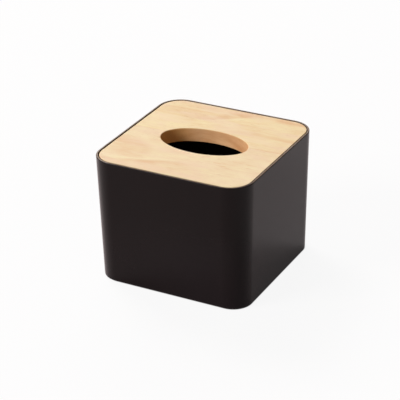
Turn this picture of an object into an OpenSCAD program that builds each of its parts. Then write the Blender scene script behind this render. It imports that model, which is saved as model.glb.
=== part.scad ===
// Square tissue box: a dark moulded box whose walls lean in towards the base, a wooden lid
// that drops inside the rim onto ribs, an oval opening in the lid, and soft pads underneath.
// Millimetres, +Z up. The origin is the middle of the plane that the pads stand on.
// The front is -Y, and the oval opening is long along X.

/* [Box] */
// Width and depth of the box across its rim
box_w = 135; // [115:1:170]
// Height of the moulded box without its pads
box_h = 105.7; // [80:0.1:140]
// How far each wall leans in between the rim and the base
wall_lean = 2.5; // [0.5:0.1:4]
// Outside radius of the upright corners at the rim
corner_r = 19.5; // [14:0.5:24]
// Thickness of the walls
wall_t = 1.7; // [1.5:0.1:2.4]
// Thickness of the floor
floor_t = 2.2; // [1.6:0.1:3.2]
// Rounding of the rim's two edges
rim_round = 0.5; // [0.2:0.1:0.7]
// Rounding of the base's outer edge
base_round = 1.2; // [0.5:0.1:2]
// Hollow rounding between the walls and the floor, inside
floor_round = 4; // [2:0.5:6]
// Width of the ring left round the sunken underside
base_ring_w = 6; // [4:0.5:8]
// Depth of the sunken underside
base_recess = 1.2; // [0.8:0.1:2]

/* [Lid seat] */
// Thickness of each upright rib that carries the lid
rib_t = 1.6; // [1.2:0.1:2.4]
// How far a rib stands in from the wall
rib_depth = 3.2; // [2:0.1:5]
// Distance between the two ribs on each side
rib_spacing = 62; // [40:1:80]
// Rounding of the ribs' free corner at the top
rib_round = 0.8; // [0.4:0.1:1.2]

/* [Lid] */
// Thickness of the board
lid_t = 11.5; // [8:0.5:14]
// How far the board's top lies below the rim
lid_drop = 0.1; // [0:0.1:2]
// Clearance round the board where it is tightest, at the ribs' tops
lid_gap = 0.32; // [0.3:0.02:1]
// Easing of the board's outer edges
lid_ease = 0.6; // [0.3:0.1:1.2]
// Length of the oval opening, along X
oval_l = 74.6; // [50:0.2:90]
// Width of the oval opening, along Y
oval_w = 43.2; // [25:0.2:60]
// Easing of the oval's edges
oval_ease = 0.7; // [0.3:0.1:1.2]
// How far behind the middle the two staves are glued together
seam_y = 4.7; // [-15:0.1:15]

/* [Pads] */
// Diameter of a pad
pad_d = 14; // [10:0.5:18]
// How far a pad stands below the base ring
pad_proud = 0.8; // [0.5:0.1:2]
// Depth of the shallow seat that a pad is glued into
pad_seat_depth = 0.5; // [0.3:0.1:0.8]
// Clearance round a pad in its seat
pad_seat_gap = 0.3; // [0.2:0.05:0.6]
// Distance from the base's sides to a pad's middle
pad_inset = 19; // [17:0.5:26]
// Chamfer round a pad's lower edge
pad_chamfer = 0.5; // [0.2:0.1:0.6]

/* [Hidden] */
$fn = 96;

// Steps in a small rounding, and points round the oval
arc_steps = 6;
oval_points = 144;
// How far a cut runs past the face that it cuts
overrun = 1;
// Thickness of the slices between which a flare is stretched
slice_t = 0.02;

// Heights
base_z = pad_proud;
rim_z = base_z + box_h;
recess_z = base_z + base_recess;
floor_z = recess_z + floor_t;
lid_top_z = rim_z - lid_drop;
seat_z = lid_top_z - lid_t;

// The corners' upright axes stand this far from the middle along X and Y. Radii are taken
// from these axes, at a corner and along a straight side alike.
core = box_w / 2 - corner_r;
lean_a = atan(wall_lean / box_h);
function outer_r(z) = corner_r - wall_lean * (rim_z - z) / box_h;
function inner_r(z) = outer_r(z) - wall_t;
lid_r = inner_r(seat_z) - lid_gap;
ring_r = outer_r(base_z) - base_ring_w;
pad_xy = core + outer_r(base_z) - pad_inset;

// Points along an arc from angle a0 to angle a1
function arc(centre, r, a0, a1) =
    [for (i = [0:arc_steps]) let (a = a0 + (a1 - a0) * i / arc_steps) centre + r * [cos(a), sin(a)]];

// Centre of a rounding of radius r at height z that touches a leaning wall: the outer face from
// inside the wall, the inner face from inside the wall, or the inner face from the hollow
function in_outer(r, z) = [outer_r(z) - r / cos(lean_a), z];
function in_inner(r, z) = [inner_r(z) + r / cos(lean_a), z];
function in_hollow(r, z) = [inner_r(z) - r / cos(lean_a), z];

// Carries an outline of radius and height round the square plan: a quarter turn at each corner
// and a straight run along each side
module round_the_plan(outline) {
    for (turn = [0:90:270]) rotate(turn) translate([core, core, 0]) {
        rotate_extrude(angle = 90) polygon(outline);
        rotate([90, 0, 0]) linear_extrude(2 * core) polygon(outline);
    }
}

// The block between the four corner axes that closes such a shape in the middle
module middle_block(z0, z1) {
    translate([-core, -core, z0]) cube([2 * core, 2 * core, z1 - z0]);
}

// Half of the section through the box, from the middle of a corner outwards
box_outline = concat(
    [[0, recess_z], [ring_r, recess_z], [ring_r, base_z]],
    arc(in_outer(base_round, base_z + base_round), base_round, -90, -lean_a),
    arc(in_outer(rim_round, rim_z - rim_round), rim_round, -lean_a, 90),
    arc(in_inner(rim_round, rim_z - rim_round), rim_round, 90, 180 - lean_a),
    arc(in_hollow(floor_round, floor_z + floor_round), floor_round, -lean_a, -90),
    [[0, floor_z]]
);

// Side view of a rib: it starts inside the floor, its back lies inside the wall, its front
// runs alongside the wall, and its level top carries the lid
rib_foot_z = floor_z - floor_t / 2;
rib_outline = concat(
    [[inner_r(rib_foot_z) + wall_t / 2, rib_foot_z], [inner_r(seat_z) + wall_t / 2, seat_z]],
    arc([inner_r(seat_z) - rib_depth + rib_round, seat_z - rib_round], rib_round, 90, 180),
    [[inner_r(rib_foot_z) - rib_depth, rib_foot_z]]
);

module seat_rib() {
    rotate([90, 0, 0]) linear_extrude(rib_t, center = true) polygon(rib_outline);
}

// Two ribs on each side and one across each corner
module seat_ribs() {
    for (turn = [0:90:270]) rotate(turn) {
        for (y = [-rib_spacing / 2, rib_spacing / 2]) translate([core, y, 0]) seat_rib();
        translate([core, core, 0]) rotate(45) seat_rib();
    }
}

// Where the pads' middles are
module at_pads() {
    for (x = [-pad_xy, pad_xy], y = [-pad_xy, pad_xy]) translate([x, y, 0]) children();
}

module body_shell() {
    color("#2a2425")
    difference() {
        union() {
            round_the_plan(box_outline);
            middle_block(recess_z, floor_z);
            seat_ribs();
        }
        at_pads() translate([0, 0, recess_z - overrun])
            cylinder(d = pad_d + 2 * pad_seat_gap, h = overrun + pad_seat_depth);
    }
}

// The board's section, with both outer edges eased
lid_outline = concat(
    [[0, seat_z]],
    arc([lid_r - lid_ease, seat_z + lid_ease], lid_ease, -90, 0),
    arc([lid_r - lid_ease, lid_top_z - lid_ease], lid_ease, 0, 90),
    [[0, lid_top_z]]
);

// The oval, grown all round by a margin
module oval(grow = 0) {
    a = oval_l / 2 + grow;
    b = oval_w / 2 + grow;
    polygon([for (i = [0:oval_points - 1]) let (t = 360 * i / oval_points) [a * cos(t), b * sin(t)]]);
}

// Flares the oval by its easing between one height inside the board and one at a face
module oval_flare(z_in, z_face) {
    hull() {
        translate([0, 0, z_in]) linear_extrude(slice_t, center = true) oval();
        translate([0, 0, z_face]) linear_extrude(slice_t, center = true) oval(oval_ease);
    }
}

// The whole board, as it is after gluing, cutting out and easing
module lid_board() {
    difference() {
        union() {
            round_the_plan(lid_outline);
            middle_block(seat_z, lid_top_z);
        }
        translate([0, 0, seat_z - overrun]) linear_extrude(lid_t + 2 * overrun) oval();
        oval_flare(lid_top_z - oval_ease, lid_top_z);
        oval_flare(seat_z + oval_ease, seat_z);
    }
}

// One stave: the part of the board between two places along Y
module lid_stave(y0, y1) {
    intersection() {
        lid_board();
        translate([-box_w / 2, y0, seat_z - overrun])
            cube([box_w, y1 - y0, lid_t + 2 * overrun]);
    }
}

module lid_stave_front() {
    color("#ecd3aa") lid_stave(-box_w / 2, seam_y);
}

module lid_stave_rear() {
    color("#ead0a4") lid_stave(seam_y, box_w / 2);
}

// A round pad with its lower edge chamfered, glued up into its seat: x and y are 1 or -1
module foot_pad(x, y) {
    color("#3c3c3e")
    translate([x * pad_xy, y * pad_xy, 0]) rotate_extrude() polygon([
        [0, 0],
        [pad_d / 2 - pad_chamfer, 0],
        [pad_d / 2, pad_chamfer],
        [pad_d / 2, recess_z + pad_seat_depth],
        [0, recess_z + pad_seat_depth]
    ]);
}

body_shell();
lid_stave_front();
lid_stave_rear();
foot_pad(-1, -1);  // foot_pad_front_left
foot_pad(1, -1);  // foot_pad_front_right
foot_pad(-1, 1);  // foot_pad_rear_left
foot_pad(1, 1);  // foot_pad_rear_right
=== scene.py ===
import math

import bpy
import numpy as np
from mathutils import Matrix, Vector


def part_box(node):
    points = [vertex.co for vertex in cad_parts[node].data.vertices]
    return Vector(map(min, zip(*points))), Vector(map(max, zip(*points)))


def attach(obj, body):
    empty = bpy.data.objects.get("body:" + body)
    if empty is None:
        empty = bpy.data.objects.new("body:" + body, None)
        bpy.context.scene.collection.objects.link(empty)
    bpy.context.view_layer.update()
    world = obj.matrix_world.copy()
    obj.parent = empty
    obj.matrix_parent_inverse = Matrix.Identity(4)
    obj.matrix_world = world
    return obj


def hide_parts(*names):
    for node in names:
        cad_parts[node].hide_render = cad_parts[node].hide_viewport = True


# A square tissue box: one dark moulding whose walls lean in towards the base, a wooden lid of two
# glued staves that drops inside the rim onto ribs, an oval opening through it, and four pads.
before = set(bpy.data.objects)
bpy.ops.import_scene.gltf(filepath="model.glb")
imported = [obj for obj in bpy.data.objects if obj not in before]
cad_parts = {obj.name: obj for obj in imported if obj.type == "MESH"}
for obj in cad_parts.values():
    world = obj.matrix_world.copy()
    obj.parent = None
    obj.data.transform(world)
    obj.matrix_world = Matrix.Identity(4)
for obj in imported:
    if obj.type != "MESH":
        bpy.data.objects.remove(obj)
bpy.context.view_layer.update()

MM = 0.001

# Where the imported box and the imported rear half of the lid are
shell_low, shell_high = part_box("body_shell")
rear_low, rear_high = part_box("lid_stave_rear")

# Box moulding
HALF_WIDTH = 67.5 * MM
RIM_Z = shell_high.z
BASE_Z = shell_low.z
CORNER_R = 19.5 * MM
WALL_LEAN = 2.5 * MM
WALL_T = 1.7 * MM
FLOOR_T = 2.2 * MM
RIM_ROUND = 0.58 * MM
RIM_INNER_ROUND = 0.4 * MM
BASE_ROUND = 1.2 * MM
FLOOR_ROUND = 4.0 * MM
RING_W = 6.0 * MM
RECESS = 1.2 * MM
CORE = HALF_WIDTH - CORNER_R
RECESS_Z = BASE_Z + RECESS
FLOOR_Z = RECESS_Z + FLOOR_T
# The gate mark under the floor: radius from the middle and depth into the floor, in millimetres
GATE = np.array([[0.5, 0.14], [0.75, 0.22], [0.85, 0.40], [1.1, 0.45], [2.6, 0.45], [3.0, 0.38],
                 [3.15, 0.10], [3.3, 0.0], [4.2, 0.0], [16.0, 0.0]])
# The four round marks that ejector pins leave on the floor inside: place along X and Y, radius
PIN_PLACE = 30.0 * MM
PIN_R = 4.0 * MM

# Ribs that the lid rests on
RIB_T = 1.6 * MM
RIB_DEPTH = 3.2 * MM
RIB_PLACE = 31.0 * MM
RIB_ROUND = 0.8 * MM
# Width over which a rib's side rises from the wall
RIB_SIDE = 0.08 * MM

# Lid
LID_TOP = rear_high.z
SEAT_Z = rear_low.z
LID_R = rear_high.y - CORE
LID_EASE = 0.6 * MM
# How far the lid lies to the right and to the rear of the middle in its clearance
LID_PLAY = np.array([0.14, 0.12]) * MM
OVAL_A = 37.3 * MM
OVAL_B = 21.6 * MM
OVAL_EASE = 0.7 * MM
OVAL_LOW_EASE = 0.3 * MM
SEAM_Y = rear_low.y

# Pads
PAD_NODES = ["foot_pad_front_left", "foot_pad_front_right", "foot_pad_rear_left",
             "foot_pad_rear_right"]
PAD_SEAT_R = 7.3 * MM
PAD_SEAT_DEPTH = 0.5 * MM
PAD_EDGE = 0.5 * MM
# The groove under a pad: share of the radius, and depth in millimetres
PAD_GROOVE = np.array([[0.30, 0.0], [0.56, 0.0], [0.585, 0.12], [0.61, 0.16], [0.635, 0.12],
                       [0.66, 0.0], [0.84, 0.0]])

# Edges that turn by more than this many degrees stay sharp
SHARP_FROM = 38
PAD_SHARP_FROM = 40


def outer_reach(height):
    """Distance of the outer face from a corner's axis: it shrinks in proportion below the rim."""
    return CORNER_R - WALL_LEAN * (RIM_Z - height) / (RIM_Z - BASE_Z)


def inner_reach(height):
    """Distance of the inner face from a corner's axis: one wall thickness less."""
    return outer_reach(height) - WALL_T


def arc(middle, radius, start, end, steps):
    """Points on an arc: the middle plus radius times cosine and sine of evenly spaced angles."""
    angle = np.radians(np.linspace(start, end, steps + 1))
    return np.column_stack([middle[0] + radius * np.cos(angle), middle[1] + radius * np.sin(angle)])


def finished(name, points, faces, sharp_from):
    """Makes a mesh object at the origin from points and faces, smooth but for its sharp edges."""
    mesh = bpy.data.meshes.new(name)
    mesh.from_pydata(points.tolist(), [], faces)
    mesh.shade_smooth()
    mesh.set_sharp_from_angle(angle=math.radians(sharp_from))
    mesh.validate()
    made = bpy.data.objects.new(name, mesh)
    bpy.context.scene.collection.objects.link(made)
    return made


def quads_between(count, around):
    """Faces between each closed row of points and the next: here, beside, and the two above."""
    row = np.arange(count - 1)[:, None] * around
    here = row + np.arange(around)[None, :]
    beside = row + (np.arange(around)[None, :] + 1) % around
    quads = np.stack([here, beside, beside + around, here + around], -1)
    return quads.reshape(-1, 4).tolist()


def ring_skin(rings, first_pole, last_pole):
    """Points and faces of rings stacked into one closed skin, with a pole point at either end."""
    count, around = rings.shape[:2]
    first = np.arange(around)
    last = first + (count - 1) * around
    low = np.column_stack([np.roll(first, -1), first, np.full(around, count * around)])
    high = np.column_stack([last, np.roll(last, -1), np.full(around, count * around + 1)])
    points = np.vstack([rings.reshape(-1, 3), first_pole, last_pole])
    return points, quads_between(count, around) + low.tolist() + high.tolist()


def square_stations():
    """Stations once round the square, counter-clockwise.

    Each has a foot on the square of corner axes, a direction that points out from it, an offset
    across that direction, and a share of 1 on a rib and 0 off it. A side's feet move along it. A
    corner's feet stay on its axis while the direction turns; across its rib, equal offsets take
    the place of equal angles, so that the rib's sides are parallel. Evenly spaced stations near a
    rib make way for the rib's own.
    """
    half = 0.5 * RIB_T
    rib = np.array([-half - RIB_SIDE, -half, -0.5 * half, 0, 0.5 * half, half, half + RIB_SIDE])
    on_rib = np.array([0, 1, 1, 1, 1, 1, 0])
    plain = np.linspace(-CORE, CORE, 37)
    clear_of_rib = 1.5 * MM
    plain = plain[np.abs(np.abs(plain) - RIB_PLACE) > clear_of_rib]
    along = np.concatenate([plain, rib - RIB_PLACE, rib + RIB_PLACE])
    share = np.concatenate([np.zeros(len(plain)), on_rib, on_rib])
    order = np.argsort(along)
    along, share = along[order], share[order]
    side = np.column_stack([np.full(len(along), CORE), along, np.zeros(len(along)),
                            np.zeros(len(along)), share])
    turn = np.linspace(0, 90, 33)[1:-1]
    turn = turn[np.abs(turn - 45) > 10]
    across = np.concatenate([[-RIB_T], rib, [RIB_T]])
    rib_share = np.concatenate([[0], on_rib, [0]])
    bend = np.concatenate([turn[turn < 45], np.full(len(across), 45.0), turn[turn > 45]])
    offset = np.zeros(len(bend))
    offset[bend == 45] = across
    corner_share = np.zeros(len(bend))
    corner_share[bend == 45] = rib_share
    corner = np.column_stack([np.full(len(bend), CORE), np.full(len(bend), CORE), bend, offset,
                              corner_share])
    quarter = np.vstack([side, corner])
    foot, aim, off, on = [], [], [], []
    for turned in range(4):
        a = math.radians(90 * turned)
        spin = np.array([[math.cos(a), -math.sin(a)], [math.sin(a), math.cos(a)]])
        heading = np.radians(quarter[:, 2]) + a
        foot.append(quarter[:, :2] @ spin.T)
        aim.append(np.column_stack([np.cos(heading), np.sin(heading)]))
        off.append(quarter[:, 3])
        on.append(quarter[:, 4])
    return np.vstack(foot), np.vstack(aim), np.concatenate(off), np.concatenate(on)


def moulding_rings(rows, stations):
    """Rings of the moulding, one for each row of scale, reach, height and rib front.

    In plan a point is scale times (foot + aim * s + across * offset), where s is the square root
    of reach squared less offset squared, so that the point lies on the row's own outline. On a rib
    s is cut down to the rib's front wherever it reaches further out than that.
    """
    foot, aim, off, on = stations
    scale, reach, height, front = (rows[:, i][:, None] for i in range(4))
    out = np.sqrt(reach ** 2 - off[None, :] ** 2)
    out = out - on[None, :] * np.maximum(out - front, 0)
    side = np.column_stack([-aim[:, 1], aim[:, 0]])
    flat = foot[None] + out[..., None] * aim[None] + (off[:, None] * side)[None]
    rings = np.empty((len(rows), len(off), 3))
    rings[..., :2] = flat * scale[..., None]
    rings[..., 2] = height
    return rings


def turned_rings(profile, bearing):
    """Circles about the upright axis: radius times each bearing, at the profile's heights."""
    rings = np.empty((len(profile), len(bearing), 3))
    rings[..., :2] = profile[:, 0][:, None, None] * bearing[None]
    rings[..., 2] = profile[:, 1][:, None]
    return rings


def box_moulding():
    """The box: a closed section carried round the square, from under the floor, over the rim, to
    the floor inside, with round rings in the middle of both faces of the floor."""
    lean = math.degrees(math.atan(WALL_LEAN / (RIM_Z - BASE_Z)))
    slope = 1 / math.cos(math.radians(lean))
    ring_r = outer_reach(BASE_Z) - RING_W
    small = 0.25 * MM
    no_rib = 1.0

    def plain(points):
        """Rows at full size that no rib cuts: a rib front a metre out lies past every wall."""
        return np.column_stack([np.ones(len(points)), points, np.full(len(points), no_rib)])

    def scaled(scales, reach, height):
        """Level rows that shrink towards the middle by the scales."""
        return np.column_stack([scales, np.full(len(scales), reach), np.full(len(scales), height),
                                np.full(len(scales), no_rib)])

    under = plain(np.vstack([
        [[ring_r - 2 * small, RECESS_Z]],
        arc((ring_r - small, RECESS_Z - small), small, 90, 0, 4),
        arc((ring_r + small, BASE_Z + small), small, 180, 270, 4),
        [[ring_r + 2 * small, BASE_Z]],
    ]))
    # Rows close beside a rounding keep the shading of the flat face next to it even
    corner = (outer_reach(BASE_Z + BASE_ROUND) - BASE_ROUND * slope, BASE_Z + BASE_ROUND)
    heel = np.vstack([[[corner[0] - 0.3 * MM, BASE_Z]], arc(corner, BASE_ROUND, -90, -lean, 8)])
    heights = np.concatenate([[heel[-1, 1] + 0.4 * MM], np.linspace(6 * MM, RIM_Z - 6 * MM, 12),
                              [RIM_Z - RIM_ROUND - 0.3 * MM]])
    wall = np.column_stack([outer_reach(heights), heights])
    rim_mid = RIM_Z - RIM_ROUND
    lip = arc((outer_reach(rim_mid) - RIM_ROUND * slope, rim_mid), RIM_ROUND, -lean, 90, 7)
    inner_mid = RIM_Z - RIM_INNER_ROUND
    inner_lip = arc((inner_reach(inner_mid) + RIM_INNER_ROUND * slope, inner_mid), RIM_INNER_ROUND,
                    90, 180 - lean, 7)
    top = np.vstack([lip, [[lip[-1, 0] - 0.12 * MM, RIM_Z]], [[inner_lip[0, 0] + 0.12 * MM, RIM_Z]],
                     inner_lip])
    above_seat = np.array([RIM_Z - 1.0 * MM, RIM_Z - 4.0 * MM, SEAT_Z + 2 * MM, SEAT_Z + 0.02 * MM])
    inside = np.column_stack([inner_reach(above_seat), above_seat])

    tilt = np.radians(np.linspace(90, 180, 6))
    rib_reach = inner_reach(SEAT_Z) - RIB_DEPTH + RIB_ROUND
    nose = np.column_stack([rib_reach + RIB_ROUND * np.cos(tilt),
                            SEAT_Z - RIB_ROUND + RIB_ROUND * np.sin(tilt)])
    down = np.linspace(SEAT_Z - 6 * MM, FLOOR_Z + FLOOR_ROUND + 1 * MM, 10)
    hollow = arc((inner_reach(FLOOR_Z + FLOOR_ROUND) - FLOOR_ROUND * slope, FLOOR_Z + FLOOR_ROUND),
                 FLOOR_ROUND, -lean, -90, 10)
    rib_heights = np.concatenate([nose[:, 1], down, hollow[:, 1]])
    rib_walls = np.concatenate([inner_reach(nose[:, 1]), inner_reach(down), hollow[:, 0]])
    rib_fronts = np.concatenate([nose[:, 0], inner_reach(down) - RIB_DEPTH,
                                 inner_reach(hollow[:, 1]) - RIB_DEPTH])
    ribbed = np.column_stack([np.ones(len(rib_heights)), rib_walls, rib_heights, rib_fronts])
    floor_reach = hollow[-1, 0]

    sunken = scaled([0.55, 0.75, 0.9, 0.97], ring_r - 2 * small, RECESS_Z)
    rows = np.vstack([
        sunken,
        under,
        plain(heel),
        plain(wall),
        plain(top),
        plain(inside),
        ribbed,
        scaled([0.97, 0.85, 0.7, 0.5], floor_reach, FLOOR_Z),
    ])
    stations = square_stations()
    foot, aim, off = stations[:3]
    rings = moulding_rings(rows, stations)
    # A point on a round ring lies in the direction of its own station on a small square ring,
    # whose corners have this radius
    bearing_r = 15.0 * MM
    bearing = foot + bearing_r * aim + off[:, None] * np.column_stack([-aim[:, 1], aim[:, 0]])
    bearing = bearing / np.linalg.norm(bearing, axis=1)[:, None]
    gate = GATE * MM
    gate[:, 1] += RECESS_Z
    floor_middle = np.array([[14.0, 0.0], [6.0, 0.0]]) * MM
    floor_middle[:, 1] += FLOOR_Z
    rings = np.concatenate([turned_rings(gate, bearing), rings,
                            turned_rings(floor_middle, bearing)])
    points, faces = ring_skin(rings, [0, 0, gate[0, 1]], [0, 0, FLOOR_Z])
    made = finished("box_moulding", points, faces, SHARP_FROM)
    # Rows up to the first on the rim's flat top are outside, and so is the pole under the box,
    # whose point comes last but one
    outside = len(gate) + len(sunken) + len(under) + len(heel) + len(wall) + len(lip) + 1
    share = np.zeros(len(points), np.float32)
    share[outside * len(off):] = 1
    share[-2] = 0
    layer = made.data.attributes.new("inside", "FLOAT", "POINT")
    layer.data.foreach_set("value", share)
    cut_pad_seats(made)
    return made


def cut_pad_seats(made):
    """Cuts a shallow round seat for each pad: a short upright drum at each pad's middle."""
    turn = np.linspace(0, 2 * np.pi, 64, endpoint=False)
    circle = np.column_stack([np.cos(turn), np.sin(turn)])
    profile = np.array([[PAD_SEAT_R, RECESS_Z - 0.4 * MM], [PAD_SEAT_R, RECESS_Z + PAD_SEAT_DEPTH]])
    drum, faces = ring_skin(turned_rings(profile, circle), [0, 0, profile[0, 1]],
                            [0, 0, profile[1, 1]])
    drums = []
    all_faces = []
    for name in PAD_NODES:
        low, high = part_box(name)
        shift = len(drum) * len(drums)
        drums.append(drum + np.array([(low.x + high.x) / 2, (low.y + high.y) / 2, 0]))
        all_faces += [[corner + shift for corner in face] for face in faces]
    cutter = finished("pad_seat_cutter", np.vstack(drums), all_faces, SHARP_FROM)
    cut = made.modifiers.new("pad_seats", "BOOLEAN")
    cut.operation = "DIFFERENCE"
    cut.solver = "EXACT"
    cut.object = cutter
    bpy.context.view_layer.update()
    seen = made.evaluated_get(bpy.context.evaluated_depsgraph_get())
    result = bpy.data.meshes.new_from_object(seen)
    made.modifiers.clear()
    made.data = result
    made.data.shade_smooth()
    made.data.set_sharp_from_angle(angle=math.radians(SHARP_FROM))
    bpy.data.objects.remove(cutter)


def stave_rows():
    """Section of the lid from its outer top edge, down, inwards, up the oval and back.

    Each row has a kind, 0 on the outline and 1 on the oval, an amount that it stands in from the
    outline or out from the oval, and a height. The edges are eased with quarter circles.
    """
    def eased(kind, ease, level, sign, start, end):
        """A quarter circle beside a level, above it or below it by the sign."""
        a = np.radians(np.linspace(start, end, 6))
        return np.column_stack([np.full(len(a), kind), ease * (1 - np.cos(a)),
                                level + sign * ease * (1 - np.sin(a))])

    hold = 0.25 * MM
    rows = [
        [[0, LID_EASE + hold, LID_TOP]],
        eased(0, LID_EASE, LID_TOP, -1, 90, 0),
        [[0, 0, LID_TOP - LID_EASE - hold], [0, 0, SEAT_Z + LID_EASE + hold]],
        eased(0, LID_EASE, SEAT_Z, 1, 0, 90),
        [[0, LID_EASE + hold, SEAT_Z], [1, OVAL_LOW_EASE + hold, SEAT_Z]],
        eased(1, OVAL_LOW_EASE, SEAT_Z, 1, 90, 0),
        [[1, 0, SEAT_Z + OVAL_LOW_EASE + hold], [1, 0, LID_TOP - OVAL_EASE - hold]],
        eased(1, OVAL_EASE, LID_TOP, -1, 0, 90),
        [[1, OVAL_EASE + hold, LID_TOP]],
    ]
    return np.vstack([np.asarray(row, float) for row in rows])


def stave(name, seam, turned):
    """One stave of the lid, as it lies behind a seam; the front one is the same shape turned round.

    Along the outline a point is foot + aim * (lid reach - amount), from the seam up one side,
    round two corners and back to the seam, all shifted by the little that the lid lies off the
    middle in its clearance. Along the oval it is (a cos t, b sin t), both half axes grown by the
    amount, between the two angles at which b sin t equals the seam.
    """
    climb = np.linspace(seam, CORE, 20)
    bend = np.radians(np.linspace(0, 90, 29)[1:-1])
    cross = np.linspace(CORE, -CORE, 41)
    on_corner = np.full((len(bend), 2), CORE)
    foot = np.vstack([
        np.column_stack([np.full_like(climb, CORE), climb]),
        on_corner,
        np.column_stack([cross, np.full_like(cross, CORE)]),
        on_corner * [-1, 1],
        np.column_stack([np.full_like(climb, -CORE), climb[::-1]]),
    ])
    foot = foot + (-LID_PLAY if turned else LID_PLAY)
    heading = np.concatenate([np.zeros_like(climb), bend, np.full_like(cross, np.pi / 2),
                              bend + np.pi / 2, np.full_like(climb, np.pi)])
    aim = np.column_stack([np.cos(heading), np.sin(heading)])
    rows = stave_rows()
    grid = np.empty((len(heading), len(rows), 3))
    rim = foot + aim * LID_R
    ray = np.unwrap(np.arctan2(rim[:, 1] * OVAL_A, rim[:, 0] * OVAL_B))
    way = (ray - ray[0]) / (ray[-1] - ray[0])
    amount = rows[:, 1][None, :]
    ends = np.arcsin(seam / (OVAL_B + amount))
    t = ends + way[:, None] * (np.pi - 2 * ends)
    on_oval = rows[:, 0][None, :] == 1
    out = LID_R - amount
    grid[..., 0] = np.where(on_oval, (OVAL_A + amount) * np.cos(t),
                            foot[:, :1] + aim[:, :1] * out)
    grid[..., 1] = np.where(on_oval, (OVAL_B + amount) * np.sin(t),
                            foot[:, 1:] + aim[:, 1:] * out)
    grid[..., 2] = rows[:, 2][None, :]
    grid[0, :, 1] = seam
    grid[-1, :, 1] = seam
    if turned:
        grid[..., :2] *= -1
    count, around = grid.shape[:2]
    caps = [list(range(around))[::-1], list(range((count - 1) * around, count * around))]
    faces = quads_between(count, around) + caps
    made = finished(name, grid.reshape(-1, 3), faces, SHARP_FROM)
    mark_end_grain(made)
    mark_oval_wall(made, rows[:, 0])
    return made


def face_normals(mesh):
    """The mesh's face normals, one row for each face."""
    normals = np.empty(len(mesh.polygons) * 3, np.float32)
    mesh.polygons.foreach_get("normal", normals)
    return normals.reshape(-1, 3)


def store_on_faces(mesh, name, share):
    """Stores a number for each face, written to each of its corners so that it has sharp limits."""
    sides = np.empty(len(mesh.polygons), np.int32)
    mesh.polygons.foreach_get("loop_total", sides)
    layer = mesh.attributes.new(name, "FLOAT", "CORNER")
    layer.data.foreach_set("value", np.repeat(share, sides).astype(np.float32))


def mark_end_grain(made):
    """Stores on each face how squarely it cuts the fibres: the size of its normal along X."""
    store_on_faces(made.data, "end_grain", np.abs(face_normals(made.data)[:, 0]))


def mark_oval_wall(made, kinds):
    """Stores 1 on the faces inside the oval, whose cut wood takes up more lacquer, and 0 elsewhere.

    Faces follow the section's rows, so a face's place in the section says where it lies. The last
    two faces are the stave's ends, and the share fades out where a face turns upwards.
    """
    inside = (kinds == 1) & (np.roll(kinds, -1) == 1)
    inside[-1] = False
    upward = face_normals(made.data)[:, 2]
    face = np.arange(len(upward))
    share = np.where(face < len(upward) - 2, inside[face % len(kinds)], False)
    store_on_faces(made.data, "oval_wall", share * np.clip((0.9 - upward) / 0.5, 0, 1))


def foot_pad(name, node):
    """A pad: a profile turned about the pad's own axis, with a rounded lower edge and a shallow
    ring groove underneath."""
    low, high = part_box(node)
    radius = (high.x - low.x) / 2
    middle = np.array([(low.x + high.x) / 2, (low.y + high.y) / 2, 0])
    groove = np.column_stack([PAD_GROOVE[:, 0] * radius, low.z + PAD_GROOVE[:, 1] * MM])
    edge = arc((radius - PAD_EDGE, low.z + PAD_EDGE), PAD_EDGE, -90, 0, 7)
    upper = np.array([[radius, low.z + PAD_EDGE + 0.2 * MM], [radius, high.z - 0.3 * MM],
                      [radius - 0.1 * MM, high.z - 0.08 * MM], [radius - 0.3 * MM, high.z],
                      [radius * 0.5, high.z]])
    profile = np.vstack([groove, edge, upper])
    turn = np.linspace(0, 2 * np.pi, 72, endpoint=False)
    circle = np.column_stack([np.cos(turn), np.sin(turn)])
    points, faces = ring_skin(turned_rings(profile, circle), [0, 0, low.z], [0, 0, high.z])
    return finished(name, points + middle, faces, PAD_SHARP_FROM)


class Value:
    """A shader socket that adds its own Math node when Python arithmetic is done with it."""

    def __init__(self, finish, socket):
        self.finish = finish
        self.socket = socket

    def __add__(self, other):
        return self.finish.math("ADD", self, other)

    def __radd__(self, other):
        return self.finish.math("ADD", other, self)

    def __sub__(self, other):
        return self.finish.math("SUBTRACT", self, other)

    def __rsub__(self, other):
        return self.finish.math("SUBTRACT", other, self)

    def __mul__(self, other):
        return self.finish.math("MULTIPLY", self, other)

    def __rmul__(self, other):
        return self.finish.math("MULTIPLY", other, self)

    def __truediv__(self, other):
        return self.finish.math("DIVIDE", self, other)

    def __pow__(self, other):
        return self.finish.math("POWER", self, other)

    def __abs__(self):
        return self.finish.math("ABSOLUTE", self)


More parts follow.
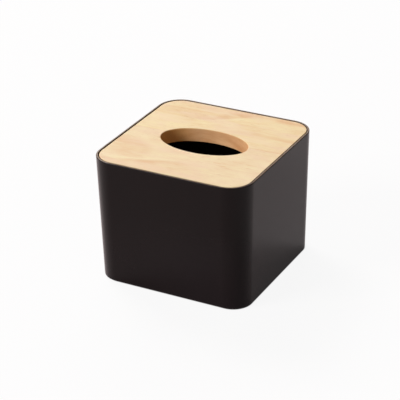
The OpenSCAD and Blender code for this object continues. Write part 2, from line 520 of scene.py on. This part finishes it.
class Finish:
    """The nodes of a material or of the world."""

    def __init__(self, owner):
        owner.use_nodes = True
        self.owner = owner
        self.tree = owner.node_tree
        self.tree.nodes.clear()

    def node(self, kind, settings, inputs, output=0):
        """Adds a node, sets its settings, then gives its sockets their values or links."""
        made = self.tree.nodes.new(kind)
        for name, value in settings.items():
            setattr(made, name, value)
        for name, value in inputs.items():
            if isinstance(value, Value):
                self.tree.links.new(value.socket, made.inputs[name])
            else:
                made.inputs[name].default_value = value
        if not made.outputs:
            return made
        return Value(self, made.outputs[output])

    def math(self, operation, *values):
        return self.node("ShaderNodeMath", {"operation": operation}, dict(enumerate(values)))

    def place(self):
        return self.node("ShaderNodeTexCoord", {}, {}, "Object")

    def parts(self, vector):
        split = self.node("ShaderNodeSeparateXYZ", {}, {0: vector}).socket.node
        return [Value(self, split.outputs[i]) for i in range(3)]

    def rays(self):
        """Three values, each 1 for one kind of ray: from the camera, from gloss, through glass."""
        path = self.node("ShaderNodeLightPath", {}, {}).socket.node
        kinds = ("Is Camera Ray", "Is Glossy Ray", "Is Transmission Ray")
        return [Value(self, path.outputs[kind]) for kind in kinds]

    def stretched(self, vector, scale, shift=(0, 0, 0)):
        return self.node("ShaderNodeVectorMath", {"operation": "MULTIPLY_ADD"},
                         {0: vector, 1: scale, 2: shift})

    def noise(self, vector, scale, shift=(0, 0, 0), detail=2.0, roughness=0.5):
        return self.node("ShaderNodeTexNoise", {"noise_dimensions": "3D"},
                         {"Vector": self.stretched(vector, scale, shift), "Scale": 1.0,
                          "Detail": detail, "Roughness": roughness})

    def soft(self, value, low, high):
        """0 below low, 1 above high, and an S-shaped rise between them."""
        return self.node("ShaderNodeMapRange", {"interpolation_type": "SMOOTHSTEP"},
                         {"Value": value, "From Min": low, "From Max": high})

    def near(self, value, middle, reach):
        """1 where value is at the middle, fading smoothly to 0 at that reach from it."""
        return 1 - self.soft(abs(value - middle), 0.0, reach)

    def blend(self, share, first, second):
        return self.node("ShaderNodeMix", {"data_type": "RGBA"}, {0: share, 6: first, 7: second}, 2)

    def bump(self, height, distance, strength=1.0):
        return self.node("ShaderNodeBump", {}, {"Strength": strength, "Distance": distance,
                                                "Height": height})

    def surface(self, inputs):
        made = self.node("ShaderNodeBsdfPrincipled", {}, inputs)
        self.node("ShaderNodeOutputMaterial", {}, {"Surface": made})
        return self.owner


def tint(red, green, blue):
    """A colour given as it looks on screen, 0 to 255, changed to the renderer's linear scale."""
    shown = np.array([red, green, blue]) / 255
    linear = np.where(shown <= 0.04045, shown / 12.92, ((shown + 0.055) / 1.055) ** 2.4)
    return (*linear.tolist(), 1.0)


def new_finish(name):
    return Finish(bpy.data.materials.new(name))


def stave_wood(name, rear):
    """Pale, fine-grained hardwood under a thin matt lacquer, with its fibres along X.

    The growth rings are surfaces of equal ring distance. In the rear stave that is the distance
    from a pith that lies under the rear edge and dips, which gives arched figure; in the front
    stave it is the distance from a slanting, gently curved sheet, which gives slanting figure.
    The oval's wall has a warmer tone of its own, with a more saturated orange painted on its
    shaded left end, and painted shade darkens the upper outer edge where it goes down into the
    gap along the rim.
    """
    f = new_finish(name)
    at = f.place()
    seed = (3.1, 7.7, 1.9) if rear else (11.3, 2.4, 5.2)
    drift = f.noise(at, (11, 38, 38), seed, 2.0) - 0.5
    ripple = f.noise(at, (26, 160, 160), seed, 2.0) - 0.5
    x, y, z = f.parts(at)
    depth = z - LID_TOP
    if rear:
        below = depth + 0.0553 + 0.0048 * f.math("TANH", (x + 0.005) / 0.016)
        beside = y - 0.0683
        ring = f.math("SQRT", beside * beside + below * below) - 0.060
    else:
        rise = 0.0115 * f.math("TANH", (x + 0.020) / 0.032)
        ring = y + 0.0495 - rise - 0.55 * depth
    ring = ring + drift * 0.0030 + ripple * 0.0008

    step = ring / 0.0031
    year = f.math("FLOOR", step)
    within = f.math("FRACT", step)
    late = within ** 5.0
    strength = f.node("ShaderNodeTexNoise", {"noise_dimensions": "1D"},
                      {"W": year * 7.31 + 0.5, "Scale": 1.0, "Detail": 0.0})
    strength = f.soft(strength, 0.35, 0.75)
    if rear:
        heart = f.soft(ring, 0.0006, -0.0006) * (0.25 + 0.75 * f.soft(x, -0.052, 0.004))
        heart = heart * (0.76 + 0.24 * f.near(ring, -0.0010, 0.0050))
        stripe = f.near(ring, 0.0120, 0.0030) * f.soft(x, 0.004, 0.014)
        # end darkens a patch along the rear edge towards the right, and is added in with the figure
        end = f.soft(y, 0.0555, 0.0605) * f.soft(x, 0.028, 0.042)
        figure = heart * 0.6 + stripe * 0.36 + end * 0.6
        paler = f.soft(ring, 0.0008, 0.0060) * f.soft(x, -0.012, -0.042) * 0.8
        paler = paler + f.near(ring, 0.0036, 0.0036) * 0.3
        flecked = 0.3
    else:
        band = f.soft(ring, 0.0024, 0.0004) * f.soft(ring, -0.0080, -0.0010)
        band = band * f.soft(x, 0.026, 0.008) * (0.6 + 0.4 * f.soft(x, 0.004, -0.020))
        from_patch_x = (x + 0.050) / 0.021
        from_patch_y = (y + 0.031 + (x + 0.050) * 0.25) / 0.016
        patch = from_patch_x * from_patch_x + from_patch_y * from_patch_y + drift * 1.6
        patch = f.soft(patch, 1.5, -0.1)
        figure = band * 0.34 + patch * 0.44
        paler = f.near(ring, 0.0044, 0.0028) * f.soft(x, 0.014, -0.012) * 0.8
        paler = paler + f.soft(x, 0.018, 0.040) * f.soft(y, -0.034, -0.046) * 0.5
        paler = paler + f.soft(x, -0.036, -0.050) * f.near(y, -0.011, 0.014) * 0.8
        flecked = 0.3 + 0.7 * f.soft(x, -0.012, 0.008) * f.near(y, -0.028, 0.018)
    beside_seam = f.near(y, SEAM_Y + 0.0010, 0.0036) * f.soft(x, 0.030, 0.044)
    fibres = f.noise(at, (30, 1500, 1500), seed, 3.0, 0.6)
    cloud = f.noise(at, (12, 50, 50), seed, 2.0)
    dashes = f.noise(at, (190, 2600, 2600), seed, 1.0)
    pores = f.soft(dashes, 0.66, 0.76) * f.soft(cloud, 0.35, 0.65)
    mottle = f.noise(at, (55, 95, 95), seed, 3.0)
    flecks = f.soft(f.noise(at, (120, 520, 520), seed, 1.0), 0.58, 0.68) * flecked
    seam = f.near(y + ripple * 0.0006, SEAM_Y, 0.0006) * (0.6 + 0.4 * f.soft(x, 0.010, 0.040))
    cut = f.node("ShaderNodeAttribute", {"attribute_name": "end_grain"}, {}, "Fac")
    bored = f.node("ShaderNodeAttribute", {"attribute_name": "oval_wall"}, {}, "Fac")

    dark = 0.24 + figure + beside_seam * 0.2 + late * strength * 0.26 + (fibres - 0.5) * 0.3
    dark = dark + (cloud - 0.5) * 0.3 + (mottle - 0.5) * 0.8 - paler * 0.26 + pores * 0.25
    dark = dark + flecks * 0.4 + seam * 0.5 + cut * 0.2
    dark = f.math("MINIMUM", f.math("MAXIMUM", dark, 0.0), 1.0)
    pale = tint(244, 217, 160) if rear else tint(244, 218, 170)
    deep = tint(227, 174, 115) if rear else tint(228, 175, 119)
    colour = f.blend(dark, pale, deep)
    pink = f.soft(f.noise(at, (30, 80, 80), (9.2, 4.4, 0.3), 2.0), 0.40, 0.66)
    colour = f.blend(pink * 0.5, colour, tint(242, 205, 168))
    cream = f.soft(f.noise(at, (44, 130, 130), (2.6, 8.1, 5.7), 2.0), 0.46, 0.68)
    colour = f.blend(cream * 0.3, colour, tint(246, 225, 173))
    colour = f.blend(pores * 0.35, colour, tint(176, 128, 84))
    streak = dark + f.noise(at, (50, 30, 170), (7.3, 1.6, 4.4), 2.0) - 0.5
    colour = f.blend(bored * 0.9, colour, f.blend(streak, tint(244, 193, 143), tint(216, 150, 96)))
    # Painted shade colour: the left end of the oval's wall, which lies in shade, is tinted a more
    # saturated orange
    painted_shade_end = bored * f.soft(x, -0.014, -0.036)
    colour = f.blend(painted_shade_end * 0.9, colour, tint(248, 180, 102))
    # Painted shade: the upper outer edge, down into the gap along the rim, is blended towards brown
    # as the gap's shade, most at the right and at the near corner
    edge = f.soft(depth, -0.00004, -0.00030) * (0.3 * f.soft(depth, -0.0075, -0.0010)
                                                + 0.7 * f.soft(depth, -0.0022, -0.0007))
    edge = edge * f.soft(f.math("MAXIMUM", abs(x), abs(y)), 0.050, 0.056)
    gap_shade_weight = 0.5 + 0.2 * f.soft(x, 0.058, 0.064) + 0.25 * f.soft(x - y, 0.100, 0.116)
    colour = f.blend(edge * gap_shade_weight * (0.7 + 0.6 * mottle), colour, tint(148, 102, 66))
    height = fibres * 0.4 - pores * 0.9 - late * strength * 0.2 - seam * 0.8
    rough = 0.46 + (fibres - 0.5) * 0.16 + pores * 0.15 + cut * 0.12 + bored * 0.15
    return f.surface({
        "Base Color": colour,
        "Roughness": rough,
        "Specular IOR Level": 0.25,
        "Normal": f.bump(height, 0.00006, 0.6),
    })


def box_plastic(name):
    """Near-black plastic with a faint warmth and a fine spark-eroded texture.

    Outside, painted light lightens it towards the base, and more so towards the right. The rim's
    top carries a painted light brown that stands in for its highlight, less of it and duller along
    the front, and it is glossier at the left corner. The inside is somewhat paler, with
    round ejector marks on the floor.
    """
    f = new_finish(name)
    at = f.place()
    x, y, z = f.parts(at)
    grain = f.noise(at, (2600, 2600, 2600), (1.3, 4.1, 2.2), 2.0, 0.6)
    coarse = f.noise(at, (420, 420, 420), (6.1, 0.4, 8.8), 2.0)
    flow = f.noise(at, (22, 22, 14), (2.7, 5.5, 3.8), 3.0)
    rim_top_band = f.soft(z, RIM_Z - 0.00014, RIM_Z - 0.00002) * (0.7 + 0.3 * f.soft(coarse, 0.3, 0.7))
    scuffed = f.soft(z, BASE_Z + 0.0022, BASE_Z + 0.0004) * f.soft(coarse, 0.4, 0.7)
    from_pin_x = abs(x) - PIN_PLACE
    from_pin_y = abs(y) - PIN_PLACE
    from_pin = f.math("SQRT", from_pin_x * from_pin_x + from_pin_y * from_pin_y)
    low = f.soft(z, FLOOR_Z + 0.0006, FLOOR_Z + 0.0002)
    pin_ring = f.near(from_pin, PIN_R, 0.00025) * low
    pin_face = f.soft(from_pin, PIN_R + 0.0001, PIN_R - 0.0002) * low
    colour = f.blend(f.soft(flow, 0.3, 0.7), (0.0034, 0.0006, 0.0006, 1),
                     (0.0046, 0.0012, 0.0011, 1))
    inside = f.node("ShaderNodeAttribute", {"attribute_name": "inside"}, {}, "Fac")
    colour = f.blend(inside, colour, (0.042, 0.035, 0.036, 1))
    # Painted light: the outside is lightened towards the base, and more so towards the right,
    # standing in for a brighter reflection of the floor there
    painted_lower_lift = f.soft(z, 0.085, 0.012) * (1 - inside) * (0.3 + 0.9 * f.soft(x, -0.040, 0.030))
    colour = f.blend(painted_lower_lift * 0.5, colour, (0.0115, 0.0068, 0.0082, 1))
    colour = f.blend(scuffed * 0.5, colour, (0.014, 0.008, 0.008, 1))
    at_front = f.soft(y, -0.040, -0.056) * f.soft(x, -0.058, -0.040)
    at_front = at_front * (0.5 + 0.5 * f.soft(x - y, 0.104, 0.118))
    at_left = f.soft(x + y, -0.106, -0.118)
    # Painted highlight: a light brown on the rim's top stands in for its tan highlight, with less
    # of it along the front
    colour = f.blend(rim_top_band * (0.85 - 0.75 * at_front), colour, (0.20, 0.10, 0.028, 1))
    rough = 0.22 + (flow - 0.5) * 0.04 + (coarse - 0.5) * 0.05 - pin_face * 0.08
    rough = rough + f.soft(z, 0.060, 0.012) * (1 - inside) * 0.02
    rough = rough + rim_top_band * (0.18 + 0.30 * at_front - 0.18 * at_left)
    height = grain + coarse * 0.3 - pin_ring * 6.0
    return f.surface({
        "Base Color": colour,
        "Roughness": rough,
        "Specular IOR Level": 0.147,
        "Sheen Weight": 0.17,
        "Sheen Roughness": 0.4,
        "Sheen Tint": (1.0, 0.58, 0.58, 1),
        "Normal": f.bump(height, 0.00002, 0.6),
    })


def pad_rubber(name):
    """Dark grey rubber, dull, with a pebbled skin and a dusty tread where it stands."""
    f = new_finish(name)
    at = f.place()
    height = f.parts(at)[2]
    pebble = f.noise(at, (1900, 1900, 1900), (0.4, 0.9, 3.3), 2.0, 0.6)
    dust = f.soft(f.noise(at, (330, 330, 330), (8.1, 2.9, 6.4), 3.0), 0.45, 0.7)
    tread = f.soft(height, 0.0005, 0.0001)
    colour = f.blend(pebble, tint(50, 50, 52), tint(64, 64, 66))
    colour = f.blend(dust * tread * 0.5, colour, tint(118, 114, 108))
    return f.surface({
        "Base Color": colour,
        "Roughness": 0.78 + (pebble - 0.5) * 0.2,
        "Specular IOR Level": 0.4,
        "Normal": f.bump(pebble, 0.00004, 0.6),
    })


# The object
box = box_moulding()
box.data.materials.append(box_plastic("box_plastic_matt"))
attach(box, "box")
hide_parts("body_shell")

rear_stave = stave("lid_board_rear", SEAM_Y, False)
rear_stave.data.materials.append(stave_wood("lid_wood_rear", True))
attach(rear_stave, "lid")
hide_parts("lid_stave_rear")

front_stave = stave("lid_board_front", -SEAM_Y, True)
front_stave.data.materials.append(stave_wood("lid_wood_front", False))
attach(front_stave, "lid")
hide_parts("lid_stave_front")

rubber = pad_rubber("pad_rubber_dull")
for node in PAD_NODES:
    pad = foot_pad(node.replace("foot_pad", "rubber_pad"), node)
    pad.data.materials.append(rubber)
    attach(pad, "box")
    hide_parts(node)


# The studio
def studio_floor():
    """A wide, pale and very faintly warm floor. Camera, glossy and transmission rays see part of
    it as plain white.

    Under the box, where the distance from the square of corner axes is less than the base's reach,
    it is dark instead, a little away from the front left light, so that the thin gap that the pads
    leave reads as a contact shadow.
    """
    below = -0.1 * MM
    corners = np.array([[-4, -4, below], [4, -4, below], [4, 4, below], [-4, 4, below]])
    floor = finished("studio_floor", corners, [[0, 1, 2, 3]], SHARP_FROM)
    f = new_finish("studio_floor_white")
    camera, glossy, through = f.rays()
    x, y = f.parts(f.place())[:2]
    away = 0.7 * MM
    past_x = f.math("MAXIMUM", abs(x - away) - CORE, 0.0)
    past_y = f.math("MAXIMUM", abs(y - away) - CORE, 0.0)
    beyond = f.math("SQRT", past_x * past_x + past_y * past_y) - outer_reach(BASE_Z)
    clear = f.soft(beyond, -0.0015, -0.0005)
    pale = f.blend(clear, (0.06, 0.06, 0.06, 1), (0.94, 0.875, 0.875, 1))
    lit = f.node("ShaderNodeBsdfDiffuse", {}, {"Color": pale})
    white = f.node("ShaderNodeEmission", {}, {"Color": (1, 1, 1, 1), "Strength": 1.0})
    share = (camera * 0.91 + glossy * 0.2 + through * 0.91) * clear
    mixed = f.node("ShaderNodeMixShader", {}, {0: share, 1: lit, 2: white})
    f.node("ShaderNodeOutputMaterial", {}, {"Surface": mixed})
    floor.data.materials.append(f.owner)


def studio_air():
    """The surroundings: white to the camera, and a soft grey fill as light and in dull gloss."""
    world = bpy.data.worlds.new("studio_air")
    bpy.context.scene.world = world
    f = Finish(world)
    camera, glossy, through = f.rays()
    fill = f.node("ShaderNodeBackground", {}, {"Color": (0.16, 0.16, 0.16, 1), "Strength": 1.0})
    white = f.node("ShaderNodeBackground", {}, {"Color": (1, 1, 1, 1), "Strength": 1.0})
    share = camera + glossy * 0.1 + through
    mixed = f.node("ShaderNodeMixShader", {}, {0: share, 1: fill, 2: white})
    f.node("ShaderNodeOutputWorld", {}, {"Surface": mixed})


def studio_light(name, place, size, watts):
    """A square soft light that faces the object."""
    lamp = bpy.data.lights.new(name, "AREA")
    lamp.shape = "SQUARE"
    lamp.size = size
    lamp.energy = watts
    made = bpy.data.objects.new(name, lamp)
    bpy.context.scene.collection.objects.link(made)
    made.location = place
    away = Vector(place) - Vector((0, 0, 0.06))
    made.rotation_euler = away.to_track_quat("Z", "Y").to_euler()


def studio_camera():
    """The camera, at the place and turn fitted to the photograph's outlines."""
    lens = bpy.data.cameras.new("camera")
    lens.sensor_width = 36
    lens.lens = 146.1299
    lens.clip_start = 0.05
    lens.clip_end = 50
    made = bpy.data.objects.new("camera", lens)
    bpy.context.scene.collection.objects.link(made)
    right = Vector((0.884782, 0.465665, -0.017828))
    up = Vector((-0.197388, 0.409153, 0.890860))
    back = right.cross(up)
    turn = Matrix((right, up, back)).transposed().to_4x4()
    made.matrix_world = Matrix.Translation((0.547226, -1.026057, 0.647040)) @ turn
    bpy.context.scene.camera = made


studio_floor()
studio_air()
studio_light("key_rear_left", (-3.76, 2.26, 4.60), 2.1, 193)
studio_light("back_low", (-2.70, 4.72, 2.70), 3.2, 110)
studio_light("fill_front_left", (-3.48, -4.20, 2.58), 2.6, 244)
studio_camera()
bpy.context.scene.view_settings.view_transform = "Standard"
